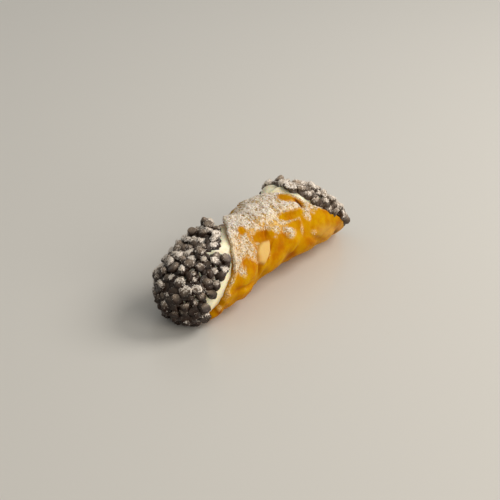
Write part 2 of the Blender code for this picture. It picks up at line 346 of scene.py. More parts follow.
def scatteredBlisters():
    # blisters of random size over the whole crust, left out where a named one already stands
    setup = pastry["scattered"]
    chance = np.random.default_rng(pastry["seed"])
    shapes = []
    for _ in range(setup["count"]):
        x, angle = chance.uniform(-50, 62), chance.uniform(-180, 180)
        length = chance.uniform(setup["from"], setup["to"])
        width, tilt = length * chance.uniform(0.55, 0.9), chance.uniform(0, 180)
        height = length * setup["height"] * chance.uniform(0.5, 1.2) * (1.5 if abs(angle) > 105 else 1.0)
        shape = (x, angle, length, width, tilt, height, setup["flatness"])
        taken = sum(ovalBump(x, angle, named) / named[5] for named in pastry["blisters"] + pastry["dimples"])
        if taken < 0.3 and insideFlake(np.float64(x), np.float64(angle)) < -3.0:
            shapes.append(shape)
    return shapes


def smallBubbles():
    # fine bubbles in the crust, most of them small
    setup = pastry["bubbles"]
    chance = np.random.default_rng(pastry["seed"] + 1)
    middle = chance.uniform((-50, -180), (62, 180), (setup["count"], 2))
    length = setup["from"] + (setup["to"] - setup["from"]) * chance.uniform(0, 1, setup["count"]) ** 2
    width = length * chance.uniform(0.6, 1.0, setup["count"])
    tilt = chance.uniform(0, 180, setup["count"])
    height = length * setup["height"] * chance.uniform(0.4, 1.2, setup["count"])
    flatness = np.full(setup["count"], setup["flatness"])
    return np.column_stack([middle, length, width, tilt, height, flatness])


def sheetCoordinates():
    # a square grid turned on its corner and rounded, so that |a| + |b| = c becomes |a|^n + |b|^n = c^n: x
    # along the tube and turn round it
    t = np.linspace(-1.0, 1.0, pastry["cells"] + 1)
    t = t + pastry["edgeCrowding"] * np.sin(math.pi * t) / math.pi
    u, v = np.meshgrid(t, t, indexing="ij")
    along, across = 0.5 * (u + v), 0.5 * (u - v)
    inset = 1.0 - np.maximum(np.abs(u), np.abs(v))
    total = np.abs(along) + np.abs(across)
    x, turn = np.zeros_like(along), np.zeros_like(along)
    for sheet, part in ((roll["left"], along <= 0), (roll["right"], along > 0)):
        power = sheet["full"]
        scale = total / np.maximum((np.abs(along) ** power + np.abs(across) ** power) ** (1 / power), 1e-9)
        a, b = along * scale, across * scale
        x = np.where(part, sheet["half"] * blunted(a, b, sheet), x)
        turn = np.where(part, roll["wrap"] * b, turn)
    return x, turn, inset


def wrinkles(x, turn):
    # 1 on the crests of long wrinkles, falling to 0 between them: crests run where a stretched noise
    # crosses zero
    away = np.abs(layeredNoise(x, arcLength(turn) / pastry["wrinkleLong"], pastry["wrinkleSize"], 91))
    return np.clip(1.0 - 3.0 * away, 0.0, 1.0)


def pastryRelief(x, turn):
    # blisters joined by a power mean, so that they meet in creases, less the dimples, plus small bubbles
    # and the flake, with a slow swell, wrinkles on top and a fine ripple; the layer under the lap stays
    # smooth
    angle, arc = roll["longLine"] + turn, arcLength(turn)
    seed, join = pastry["seed"], pastry["join"]
    total = np.zeros_like(x)
    for shape in pastry["blisters"] + scatteredBlisters():
        total += ovalBump(x, angle, shape) ** join
    height = total ** (1 / join) - sumOfOvals(x, angle, pastry["dimples"])
    height = height + sumOfOvals(x, angle, smallBubbles())
    inside = insideFlake(x, angle)
    height = height * (1 - 0.7 * smoothStep(inside, -1.5, 0.5))
    height = height + pastry["flakeHeight"] * smoothStep(inside, -0.5, 0.7)
    height = height + pastry["swell"] * (0.1 + layeredNoise(x, arc, pastry["swellSize"], seed))
    onTop = smoothStep(np.sin(np.radians(angle)), 0.5, 0.9)
    height = height - 0.25 * onTop + pastry["wrinkle"] * onTop * (wrinkles(x, turn) - 0.4)
    ripple = layeredNoise(x, arc, pastry["rippleSize"], seed + 7, 3)
    height = height + pastry["ripple"] * (0.45 + 0.55 * onTop) * ripple
    over, under = smoothStep(turn, 110.0, 135.0), smoothStep(-turn, 112.0, 128.0)
    height = np.where(over > 0, np.maximum(height, -0.25 - 2.0 * (1 - over)), height)
    return height * (1.0 - under)


def sugarCover(x, turn, upward, toRim):
    # sugar sifted from above: it keeps to what faces up, is torn by noise, thins out to the right, clings
    # to the rims, and has heaped and bare places
    angle = roll["longLine"] + turn
    cling, noise = pastry["cling"], layeredNoise(x, arcLength(turn), pastry["tornSize"], 41, 3)
    cover = pastry["cover"] * smoothStep(upward, *pastry["facing"])
    cover = cover + pastry["torn"] * noise * smoothStep(upward, 0.30, 0.60)
    cover = cover - 0.22 * smoothStep(x, 10.0, 30.0) * (1 - smoothStep(upward, 0.86, 1.0))
    cover = cover + cling * smoothStep(2.8 - toRim, 0.0, 2.0) * smoothStep(upward, -0.4, 0.2) * (x < 0)
    cover = cover + cling * smoothStep(1.8 - toRim, 0.0, 1.0) * smoothStep(upward, 0.25, 0.5) * (x > 0)
    most = pastry["cover"] + sumOfOvals(x, angle, pastry["thick"])
    cover = np.clip(cover + sumOfOvals(x, angle, pastry["heaped"]), 0.0, most)
    cover = cover - 1.3 * smoothStep(insideFlake(x, angle), -0.8, 0.2) * smoothStep(x, -22.0, -18.0)
    return np.clip(cover - sumOfOvals(x, angle, pastry["bare"]), 0.0, 1.0)


def sugarNet(x, turn):
    # 1 on a net of thin ridges and 0 in its gaps: ridges run where two noises cross zero
    fine, wide = [np.abs(layeredNoise(x, arcLength(turn), times * pastry["netSize"], seed))
                  for times, seed in ((1.0, 61), (1.7, 67))]
    return np.clip(1.0 - 4.0 * np.minimum(fine, wide), 0.0, 1.0)


def makeFriedPastryMaterial():
    # Dough fried in oil: golden, slightly translucent crust with soft gloss, browned and burnt in spots, darker
    # in its creases, slits and underneath as painted shade, paler low on its right end as painted bounce light,
    # and dry icing sugar over it that hides the gloss.
    material, tree, shader, place = newMaterial("friedWheatPastryDustedWithSugar")
    names = "clumped", "film", "thin", "brownedAndShaded", "scorchedAndShadowed", "paleAndPaintedLight", "warm"
    clumped, film, thin, brownedAndShaded, scorchedAndShadowed, paleAndPaintedLight, warm = [
        addNode(tree, "ShaderNodeAttribute", attribute_name=name).outputs["Fac"] for name in names]
    # three noises with grains of their own size in millimetres
    blotch, speck, thread = [
        addNode(tree, "ShaderNodeTexNoise",
                {"Vector": place, "Scale": 1 / (pastry[size] * mm), "Detail": detail, **more}).outputs["Fac"]
        for size, detail, more in (("blotchSize", 4.0, {"Roughness": 0.62}), ("speckSize", 2.0, {}),
                                   ("threadSize", 1.5, {"Distortion": 0.6}))]
    crust = addNode(tree, "ShaderNodeValToRGB", {"Fac": blotch}, pastry["crust"]).outputs["Color"]
    spotted = addNode(tree, "ShaderNodeMapRange",
                      {"Value": speck, "From Min": 0.40, "From Max": 0.58, "To Min": 0.15}).outputs["Result"]
    thin = addNode(tree, "ShaderNodeMath", {0: thin, 1: spotted}, operation="MULTIPLY").outputs[0]
    # browned and scorched colours are browning and burn and also painted shade; the pale colour is the flake's
    # dough and also painted bounce light
    for amount, hexCode in ((brownedAndShaded, "a45b00"), (scorchedAndShadowed, "5c3206"), (paleAndPaintedLight, "d8b26a"), (film, "86704e"),
                            (thin, "ecca90")):
        crust = addNode(tree, "ShaderNodeMix", {"Factor": amount, "A": crust, "B": linearColour(hexCode)},
                        data_type="RGBA").outputs["Result"]
    # threads of sugar run where a noise crosses one half: the gap is 0 on a thread and 1 away from it
    off = addNode(tree, "ShaderNodeMath", {0: thread, 1: 0.5}, operation="SUBTRACT").outputs[0]
    off = addNode(tree, "ShaderNodeMath", {0: off}, operation="ABSOLUTE").outputs[0]
    gap = addNode(tree, "ShaderNodeMapRange", {"Value": off, "From Max": 0.11}).outputs["Result"]
    # clumps + swing (specks - 0.5 - 0.38 gap): sugar comes out as this rises from 0.20 to 0.58, and the
    # swing grows from 0 to 1.1 with the first fifth of the clumps, so that none shows where there are no
    # clumps
    swing = addNode(tree, "ShaderNodeMapRange",
                    {"Value": clumped, "From Max": 0.2, "To Max": 1.1}).outputs["Result"]
    torn = addNode(tree, "ShaderNodeMath", {0: speck, 1: 0.5}, operation="SUBTRACT").outputs[0]
    torn = addNode(tree, "ShaderNodeMath", {0: gap, 1: -0.38, 2: torn}, operation="MULTIPLY_ADD").outputs[0]
    torn = addNode(tree, "ShaderNodeMath", {0: torn, 1: swing, 2: clumped}, operation="MULTIPLY_ADD").outputs[0]
    white = addNode(tree, "ShaderNodeMapRange", {"Value": torn, "From Min": 0.20, "From Max": 0.58},
                    interpolation_type="SMOOTHSTEP").outputs["Result"]
    tint = addNode(tree, "ShaderNodeValToRGB", {"Fac": speck},
                   [(0.36, "dcc29c"), (0.60, "fff9f0")]).outputs["Color"]
    tint = addNode(tree, "ShaderNodeMix", {"Factor": warm, "A": tint, "B": linearColour("ecca90")},
                   data_type="RGBA").outputs["Result"]
    surface = addNode(tree, "ShaderNodeMix", {"Factor": white, "A": crust, "B": tint}, data_type="RGBA")
    rough = addNode(tree, "ShaderNodeMapRange", {"Value": white, "To Min": 0.56, "To Max": 0.85})
    # specks stand as grains in the sugar and as faint pimples on the bare crust
    grains = addNode(tree, "ShaderNodeMath", {0: white, 1: 0.22}, operation="ADD").outputs[0]
    grains = addNode(tree, "ShaderNodeMath", {0: grains, 1: speck}, operation="MULTIPLY").outputs[0]
    bump = addNode(tree, "ShaderNodeBump", {"Height": grains, "Strength": 1.0, "Distance": 0.7 * mm})
    setInputs(tree, shader, {
        "Base Color": surface.outputs["Result"], "Roughness": rough.outputs["Result"],
        "Normal": bump.outputs["Normal"], "IOR": 1.40, "Specular IOR Level": 0.06,
        "Specular Tint": linearColour("ffcf70"), "Subsurface Weight": 0.12,
        "Subsurface Radius": (2.0, 0.9, 0.1), "Subsurface Scale": 1.0 * mm})
    return material


def makePastry():
    # outer and inner skins of the rolled sheet, a wall apart, meeting in a rounded rim
    x, turn, inset = sheetCoordinates()
    n, count = len(x), x.size
    angle, arc = roll["longLine"] + turn, arcLength(turn)
    side = np.where(x < 0, -1, 1)
    x = x + side * rimWander(angle, side) * smoothStep(1 - inset, 0.8, 1.0)
    lift = (roll["wall"] + roll["lapGap"]) * smoothStep(turn, roll["lapStart"], roll["lapEnd"])
    lift = lift - sumOfOvals(x, angle, roll["pressed"])
    relief = pastryRelief(x, turn)
    outerRadius = roll["bore"] + roll["wall"] + lift + relief
    toRim = inset * pastry["halfSheet"]
    edge = np.clip(toRim / pastry["rimRound"], 0.0, 1.0)
    rounding = pastry["rimRound"] * (1.0 - np.sqrt(1.0 - (1.0 - edge) ** 2))
    # normals of the crust before the sugar goes on, and how far up they look
    bare = placeOnRoll(x, angle, outerRadius)
    normal = unit(np.cross(np.gradient(bare, axis=0), np.gradient(bare, axis=1)))
    outwards = placeOnRoll(0.0, angle, 1.0) - placeOnRoll(0.0, angle, 0.0)
    normal = normal * np.sign(np.sum(normal * outwards, -1, keepdims=True))
    upward = normal[..., 2]
    sugar = sugarCover(x, turn, upward, toRim) * (1 - underLap(x, turn))
    net, crests = sugarNet(x, turn), wrinkles(x, turn)
    uneven = layeredNoise(x, arc, 4.0, 55, 3)
    byCover, byNet, byNoise, byWrinkle = pastry["clumps"]
    clumped = byCover * sugar + byNet * (net - 0.45) + byNoise * uneven
    clumped = clumped + byWrinkle * smoothStep(upward, 0.35, 0.75) * (crests - 0.35)
    clumped = smoothStep(clumped, 0.12, 0.75) * smoothStep(sugar, 0.02, 0.2)
    outerRadius = outerRadius + pastry["net"] * clumped * (0.35 + net) - rounding
    innerRadius = roll["bore"] + lift + np.minimum(relief + 0.4, 0) + 0.5 * rounding
    outer = placeOnRoll(x, angle, outerRadius)
    inner = placeOnRoll(x, angle, np.minimum(innerRadius, outerRadius - 0.12))
    points = np.concatenate([outer.reshape(-1, 3), inner.reshape(-1, 3)])
    points[:, 2] = np.maximum(points[:, 2], 0.0)
    rim = np.concatenate([np.arange(n), n * np.arange(1, n) + n - 1, count - 2 - np.arange(n - 1),
                          n * np.arange(n - 2, 0, -1)])
    following = np.roll(rim, -1)
    faceSets = [gridFaces(n, n, flip=True), gridFaces(n, n, first=count),
                np.stack([rim, following, following + count, rim + count], -1)]
    # darker in its creases and below, as painted shade, brown in blotches, and darker along the rims, from
    # browning and painted shade; the named marks are browning and burn spots and also painted shade in creases,
    # slits and on lower facets. Pale on the flake, which is palest at its right edge and sinks into the crust
    # at its left and lower ends, and paler in the named pale ovals as painted bounce light
    brownedAndShaded = sumOfOvals(x, angle, pastry["brownedAndShaded"])
    # nearly black where the named marks are deepest: burn spots, and painted shadow in the open blister's slit
    # and under the flake's edge
    scorchedAndShadowed = smoothStep(brownedAndShaded, 0.85, 1.2)
    # darker where the crust faces down and in its creases: painted shade
    brownedAndShaded = brownedAndShaded + pastry["undersideShade"] * smoothStep(-upward, -0.1, 0.8)
    brownedAndShaded = brownedAndShaded + pastry["creaseShade"] * smoothStep(-relief, -0.4, 0.6)
    brownedAndShaded = brownedAndShaded + pastry["blotchBrown"] * layeredNoise(x, arc, 10.0, 71)
    # darker along the rims: browning, and on the left rim painted shade where it meets the cream
    rimBrownAndShade = np.where(x < 0, *pastry["rimBrownAndShade"]) * smoothStep(1.6 - toRim, 0.0, 1.2)
    flake = smoothStep(insideFlake(x, angle), -0.35, 0.55) * (0.5 + 0.5 * smoothStep(x, -21.0, -17.5))
    # the flake is pale dough; the pale ovals add painted bounce light
    paleAndPaintedLight = sumOfOvals(x, angle, pastry["paleAndPaintedLight"]) + flake * (0.55 + 0.45 * smoothStep(angle, 6.0, 16.0))
    thin = 0.65 * smoothStep(sugar + 0.25 * uneven, 0.02, 0.30) * smoothStep(sugar, 0.01, 0.06)
    # the crust's colours paint both skins, its sugar only the outer one
    onBoth = {"brownedAndShaded": np.maximum(np.clip(brownedAndShaded, 0, 1), rimBrownAndShade), "scorchedAndShadowed": scorchedAndShadowed,
              "paleAndPaintedLight": np.clip(paleAndPaintedLight, 0, 1), "warm": 0.55 * smoothStep(0.97 - upward, 0.0, 0.35)}
    onOuter = {"clumped": clumped, "thin": thin,
               "film": (0.75 - 0.35 * crests) * smoothStep(sugar, 0.12, 0.5) * smoothStep(upward, 0.45, 0.8)}
    attributes = {name: np.tile(values.ravel(), 2) for name, values in onBoth.items()}
    for name, values in onOuter.items():
        attributes[name] = np.concatenate([values.ravel(), np.zeros(count)])
    obj = meshObject("friedPastryRoll", points, faceSets, makeFriedPastryMaterial(), attributes)
    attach(obj, "root")
    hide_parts("pastry_shell")
    print("pastry rolled:", len(obj.data.polygons), "faces")
    return {"outer": outer, "sugar": clumped ** 2 * (0.3 + 0.7 * net) + 0.10 * thin, "normal": normal}


cream = {
    "tubeRows": 80, "endRows": 160, "columns": 200, "core": 11.8, "lowest": 2.1,
    "bite": 0.3,                             # how far the cream bites into the dough at the tube's mouth
    "setback": 0.5, "rise": 7.0,             # where inside the rim it starts to swell, and over what length
    # the hump is where an end swells above its even outline: height, angle, how wide in degrees, share
    # along, how long
    "left": {"sheet": roll["left"], "reach": 65.0, "radius": 16.1, "slant": 0.12, "fall": 5.0, "full": 2.1,
             "hump": (2.2, 112.0, 24.0, 0.18, 0.13), "pinch": (3.0, 129.0, 38.0)},
    "right": {"sheet": roll["right"], "reach": 52.3, "radius": 16.5, "slant": 0.70, "fall": -72.0,
              "full": 2.8, "hump": (3.4, 130.0, 34.0, 0.18, 0.26), "pinch": (0.0, 0.0, 1.0)},
    "wave": 0.35, "waveSize": 7.0,
    "cloudSize": 5.0, "curdSize": 1.2, "colours": [(0.3, "e9deb8"), (0.7, "f0e7c8")],
}


def insideRadius(angle, end):
    # radius of the tube's mouth: the bore, a layer more where the lap's outer layer is the one that shows,
    # less a pinch
    turn = wrapped(angle - roll["longLine"])
    lifted = smoothStep(turn, roll["lapStart"], roll["lapEnd"]) * (1.0 - smoothStep(turn, 172.0, 180.0))
    pinch, pinchAngle, wide = end["pinch"]
    squeezed = pinch * np.exp(-((angle - pinchAngle) / wide) ** 2)
    layer = (roll["wall"] + roll["lapGap"]) * 0.9 * lifted
    return roll["bore"] + cream["bite"] + layer - squeezed


def creamEnd(end, share, angle):
    # share 0 at the rim, 1 at the tip: a superellipse whose flat end leans, swelling from the bore to full
    # radius, with a bell-shaped hump on one side
    th = 0.5 * math.pi * (1.0 - share)
    power = 2.0 / end["full"]
    full = np.sin(th) ** power
    start = rimDistance(end["sheet"], angle) - cream["setback"]
    tip = end["reach"] + end["slant"] * full * end["radius"] * np.cos(np.radians(angle - end["fall"]))
    x = start + (tip - start) * np.abs(np.cos(th)) ** power
    mouth = insideRadius(angle, end)
    radius = mouth + (np.maximum(end["radius"], mouth) - mouth) * smoothStep(x, start, start + cream["rise"])
    height, humpAngle, wide, humpShare, long = end["hump"]
    hump = height * np.exp(-(wrapped(angle - humpAngle) / wide) ** 2 - ((share - humpShare) / long) ** 2)
    return x * end["sheet"]["side"], full * (radius + hump * smoothStep(share, 0, 0.05))


def makeRicottaCreamMaterial():
    # Sweetened ricotta cream, piped: smooth, ivory, moist with a soft gloss, light spreads inside it.
    material, tree, shader, place = newMaterial("pipedRicottaCream")
    cloud, curd = [
        addNode(tree, "ShaderNodeTexNoise",
                {"Vector": place, "Scale": 1 / (cream[size] * mm), "Detail": 2.0}).outputs["Fac"]
        for size in ("cloudSize", "curdSize")]
    colour = addNode(tree, "ShaderNodeValToRGB", {"Fac": cloud}, cream["colours"])
    bump = addNode(tree, "ShaderNodeBump", {"Height": curd, "Strength": 0.25, "Distance": 0.25 * mm})
    setInputs(tree, shader, {
        "Base Color": colour.outputs["Color"], "Normal": bump.outputs["Normal"], "Roughness": 0.34, "IOR": 1.45,
        "Subsurface Weight": 0.55, "Subsurface Radius": (3.2, 2.2, 1.2), "Subsurface Scale": 1.0 * mm})
    return material


def makeCream():
    # one closed body from tip to tip: an end, the stretch inside the tube, the other end
    columns = cream["columns"]
    angle = np.linspace(0.0, 360.0, columns, endpoint=False) - 180.0
    share = np.linspace(0.0, 1.0, cream["endRows"])[1:-1, None] ** 1.15
    left, right = cream["left"], cream["right"]
    (leftX, leftRadius), (rightX, rightRadius) = [creamEnd(end, share, angle[None]) for end in (left, right)]
    tube = np.linspace(-1.0, 1.0, cream["tubeRows"])[:, None]
    leftStart, rightStart = [rimDistance(end["sheet"], angle) - cream["setback"] for end in (left, right)]
    tubeX = tube * np.where(tube < 0, leftStart, rightStart)
    mouth = np.where(tube < 0, insideRadius(angle, left), insideRadius(angle, right))
    tubeRadius = cream["core"] + (mouth - cream["core"]) * smoothStep(np.abs(tube), 0.75, 0.97)
    x = np.concatenate([leftX[::-1], tubeX, rightX])
    radius = np.concatenate([leftRadius[::-1], tubeRadius, rightRadius])
    # a slow wave outside the tube, none at the tips
    outside = np.concatenate([np.linspace(1, 0, len(leftX)), 0 * tube[:, 0], np.linspace(0, 1, len(rightX))])
    around = np.radians(angle)[None] + 0 * x
    wave = layeredNoise(x, 16.0 * np.cos(around), cream["waveSize"], 83)
    wave = wave + layeredNoise(x + 50, 16.0 * np.sin(around), cream["waveSize"], 87)
    fade = smoothStep(outside[:, None], 0.0, 0.08) * smoothStep(radius, 0.0, 8.0)
    body = placeOnRoll(x, angle[None], radius + cream["wave"] * wave * fade)
    tips = placeOnRoll(np.array([-left["reach"], right["reach"]]), 0.0, 0.0)
    points = np.concatenate([body.reshape(-1, 3), tips])
    points[:, 2] = np.maximum(points[:, 2], cream["lowest"])
    n, ring = len(x), np.arange(columns)
    following, last = (ring + 1) % columns, (n - 1) * columns
    capLeft = np.stack([ring, following, np.full(columns, n * columns)], -1)
    capRight = np.stack([last + following, last + ring, np.full(columns, n * columns + 1)], -1)
    sides = gridFaces(n, columns, closed=True, flip=True)
    obj = meshObject("ricottaCream", points, [sides, capLeft, capRight], makeRicottaCreamMaterial())
    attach(obj, "root")
    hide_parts("cream_filling")
    print("cream piped:", len(obj.data.polygons), "faces")


chips = {
    "spacing": 3.95, "underSpacing": 2.2, "underDepth": 1.5, "gap": (2.3, 3.4), "segments": 10,
    # radius and height of the drop's outline, from the middle of its base to its tip, as shares of half
    # width and height
    "drop": [(0.0, 0.03), (0.90, 0.0), (1.0, 0.09), (0.96, 0.30), (0.76, 0.55), (0.43, 0.80),
             (0.16, 0.98), (0.0, 1.03)],
    "pebble": [(0.0, 0.05), (0.62, 0.02), (0.96, 0.18), (1.02, 0.42), (0.88, 0.68), (0.60, 0.87),
               (0.28, 0.97), (0.0, 1.0)],
    "dusty": [0.35, 0.9, 1.0, 0.7, 0.7, 0.9, 1.0, 1.0],    # how readily sugar stays on each ring
    "widths": (0.76, 1.12), "heights": (0.70, 1.10),       # how they vary, as shares of full width and height
    "bend": 0.9, "lumps": 0.08,              # how far a tip bends aside, and how lumpy the chips are
    "lift": 0.6,                             # how much higher or lower than the rest a chip may sit
    "edge": 0.7, "edgeSize": 12.0,           # how far their edge wanders, and over how many degrees
    "clear": 1.2,                            # the lowest that a chip is pressed in, above the table
    "pastBox": 0.5,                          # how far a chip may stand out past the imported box
    "sunk": 0.75,                            # how far below the cream's surface a chip's base sits
    "bloomSize": 3.0, "speckSize": 0.8,      # blotches of the chocolate and specks of its sugar
    # the film also paints a highlight on each chip's top, and chips sunk in the gaps get little of it, as
    # painted shade
    "film": (0.38, 0.32),                    # film of sugar on top of a chip, and more if it is frosted
    # bare is how much cream shows before the first chip: angle and millimetres, joined by straight lines;
    # openings are gaps among the chips: millimetres from the rim, angle, length, width; proud chips lie on
    # the others: share, angle, height, frosting; frosted is the share of chips thickly dusted, hazy a film
    # of sugar on all of them, long how far they may be stretched
    "left": {"end": "left", "width": 5.25, "height": 4.2, "long": 1.10, "seed": 5, "slot": "chips_left",
             "replaces": "chip_coat_left", "frosted": 0.40, "hazy": 0.0,
             "bare": [(-180, 7), (-90, 7), (-62, 3.6), (-46, 3.0), (-38, 5), (-29, 9), (-23, 15.5),
                      (-12, 14.5), (0, 10.5), (14, 11.5), (26, 9.5), (33, 4.6), (46, 4.0), (54, 8), (62, 13),
                      (68, 10), (76, 7.5), (95, 7.5), (120, 7.5), (180, 7)],
             "openings": [(14, 65, 9, 3.5)],
             "proud": [(0.13, 114, 1.6, 0.1), (0.16, 103, 1.2, 0.3), (0.24, 117, 1.2, 0.0)]},
    "right": {"end": "right", "width": 5.5, "height": 4.2, "long": 1.12, "seed": 9, "slot": "chips_right",
              "replaces": "chip_coat_right", "frosted": 0.80, "hazy": 0.19,
              "bare": [(-180, 4), (-60, 4.5), (-35, 4.4), (0, 3.2), (40, 2.6), (67, 2.4), (87, 5.4),
                       (100, 12), (111, 15), (123, 15), (130, 12), (137, 9), (148, 6), (160, 5), (180, 4)],
              "openings": [],
              "proud": [(0.22, -13, 0.7, 0.1), (0.30, 118, 1.0, 0.15), (0.33, 106, 1.0, 0.8)]},
}


def keepApart(point, gap, taken):
    # walks through the points and keeps each one that is at least a gap from those kept and taken before
    chosen = []
    spots = np.array(taken).reshape(-1, 3)
    for i in range(len(point)):
        if len(spots) == 0 or np.min(np.sum((spots - point[i]) ** 2, -1)) >= gap * gap:
            spots = np.vstack([spots, point[i]])
            chosen.append(i)
    return chosen


def creamPoint(end, share, angle):
    # the cream's surface at a share from rim to tip and an angle round the tube
    x, radius = creamEnd(end, share, angle)
    return placeOnRoll(x, angle, radius)


def creamFrame(end, share, angle):
    # point and outward normal of the cream's end, and the area that a step of share and angle covers there
    step = 0.004
    along = creamPoint(end, np.minimum(share + step, 0.9999), angle) - creamPoint(end, share - step, angle)
    around = creamPoint(end, share, angle + 0.5) - creamPoint(end, share, angle - 0.5)
    across = np.cross(along, around) * end["sheet"]["side"]
    return creamPoint(end, share, angle), unit(across), np.linalg.norm(across, axis=-1)


def scatterOnEnd(setup, chance):
    # candidates drawn evenly over the cream's area beyond an uneven edge; a close top layer, then chips
    # sunk in its gaps
    end, tries = cream[setup["end"]], 30000
    share = chance.uniform(0.01, 0.997, tries)
    angle = chance.uniform(-180.0, 180.0, tries)
    point, normal, area = creamFrame(end, share, angle)
    keep = chance.uniform(0, 1, tries) < area / area.max()
    fromRim = np.abs(point[:, 0] - roll["middle"]) - (rimDistance(end["sheet"], angle) - cream["setback"])
    edgeNoise = latticeNoise(angle / chips["edgeSize"] + 40, share * 0 + setup["seed"], 31 + setup["seed"])
    radial = np.hypot(point[:, 1] - roll["sideways"], point[:, 2] - roll["axisHeight"])
    walked = fromRim + np.maximum(0.0, end["radius"] - radial)
    bareAngle, bareWidth = np.array(setup["bare"]).T
    keep &= walked > np.interp(angle, bareAngle, bareWidth) + chips["edge"] * edgeNoise
    for openWalk, openAngle, openLength, openWidth in setup["openings"]:
        aside = np.radians(angle - openAngle) * end["radius"]
        keep &= ((walked - openWalk) / (0.5 * openLength)) ** 2 + (aside / (0.5 * openWidth)) ** 2 > 1
    keep &= point[:, 2] > chips["clear"]
    point, normal = point[keep], normal[keep]
    top = keepApart(point, chips["spacing"], [])
    sunkPoint = point - chips["underDepth"] * normal
    under = keepApart(sunkPoint, chips["underSpacing"], point[top])
    # a sunk chip in the middle of a gap comes up and shows, the others stay hidden
    toTop = np.sqrt(np.min(np.sum((point[under][:, None] - point[top][None]) ** 2, -1), 1))
    shown = np.concatenate([np.ones(len(top)), smoothStep(toTop, *chips["gap"])])
    depth = chips["underDepth"] * (1 - 0.8 * shown) * (np.arange(len(shown)) >= len(top))
    point, normal = point[top + under] - depth[:, None] * normal[top + under], normal[top + under]
    if setup["proud"]:
        proudShare, proudAngle, height, _ = np.array(setup["proud"]).T
        proudPoint, proudNormal, _ = creamFrame(end, proudShare, proudAngle)
        point = np.vstack([point, proudPoint + height[:, None] * proudNormal])
        normal = np.vstack([normal, proudNormal])
        shown = np.concatenate([shown, np.ones(len(height))])
    return point, normal, shown


def randomTurns(count, normal, chance):
    # turns that stand each drop roughly on its base, on its side or on its tip, in rough shares of 45, 30
    # and 25
    kind = chance.uniform(0, 1, count)
    lean = np.where(kind < 0.45, chance.uniform(0, 50, count),
                    np.where(kind < 0.75, chance.uniform(60, 115, count), chance.uniform(135, 180, count)))
    lean, spin = np.radians(lean)[:, None], chance.uniform(0, 2 * math.pi, count)[:, None]
    helper = np.where(np.abs(normal[:, 2:3]) < 0.9, [[0.0, 0.0, 1.0]], [[1.0, 0.0, 0.0]])
    side = unit(np.cross(normal, helper))
    flat = side * np.cos(spin) + np.cross(normal, side) * np.sin(spin)
    axis = normal * np.cos(lean) + flat * np.sin(lean)
    first = unit(np.cross(axis, np.cross(flat, normal) + 1e-3))
    return np.stack([first, np.cross(axis, first), axis], -1)


def makeDarkChocolateMaterial():
    # Dark chocolate dropped and set: waxy brown with a soft shine, greyed above by a thin film of sugar that is
    # also a painted highlight on each chip's top, and with dry white sugar caught on its upper edges.
    material, tree, shader, place = newMaterial("setDarkChocolateDustedWithSugar")
    film, dust = [addNode(tree, "ShaderNodeAttribute", attribute_name=name).outputs["Fac"]
                  for name in ("film", "dust")]
    bloom, speck = [
        addNode(tree, "ShaderNodeTexNoise",
                {"Vector": place, "Scale": 1 / (chips[size] * mm), "Detail": 3.0, **more}).outputs["Fac"]
        for size, more in (("bloomSize", {}), ("speckSize", {"Roughness": 0.6}))]
    patchy = addNode(tree, "ShaderNodeMapRange", {
        "Value": speck, "From Min": 0.38, "From Max": 0.62, "To Min": 0.75, "To Max": 1.15}).outputs["Result"]
    film = addNode(tree, "ShaderNodeMath", {0: film, 1: patchy}, operation="MULTIPLY",
                   use_clamp=True).outputs[0]
    brown = addNode(tree, "ShaderNodeValToRGB", {"Fac": bloom},
                    [(0.3, "140903"), (0.7, "311b0c")]).outputs["Color"]
    # the film's grey is sugar and also a painted highlight on the chip's top
    brown = addNode(tree, "ShaderNodeMix", {"Factor": film, "A": brown, "B": linearColour("c8b29a")},
                    data_type="RGBA").outputs["Result"]
    # white sugar shows as dust + 2.5 (specks - 0.5) rises from 0.34 to 0.77
    torn = addNode(tree, "ShaderNodeMath", {0: speck, 1: 0.5}, operation="SUBTRACT").outputs[0]
    torn = addNode(tree, "ShaderNodeMath", {0: torn, 1: 2.5, 2: dust}, operation="MULTIPLY_ADD").outputs[0]
    white = addNode(tree, "ShaderNodeMapRange", {"Value": torn, "From Min": 0.34, "From Max": 0.77},
                    interpolation_type="SMOOTHSTEP").outputs["Result"]
    surface = addNode(tree, "ShaderNodeMix", {"Factor": white, "A": brown, "B": linearColour("f2e8dc")},
                      data_type="RGBA")
    rough = addNode(tree, "ShaderNodeMapRange", {"Value": white, "To Min": 0.42, "To Max": 0.9})
    bump = addNode(tree, "ShaderNodeBump", {"Height": speck, "Strength": 0.5, "Distance": 0.2 * mm})
    setInputs(tree, shader, {
        "Base Color": surface.outputs["Result"], "Roughness": rough.outputs["Result"],
        "Normal": bump.outputs["Normal"], "IOR": 1.5, "Specular IOR Level": 0.35})
    return material


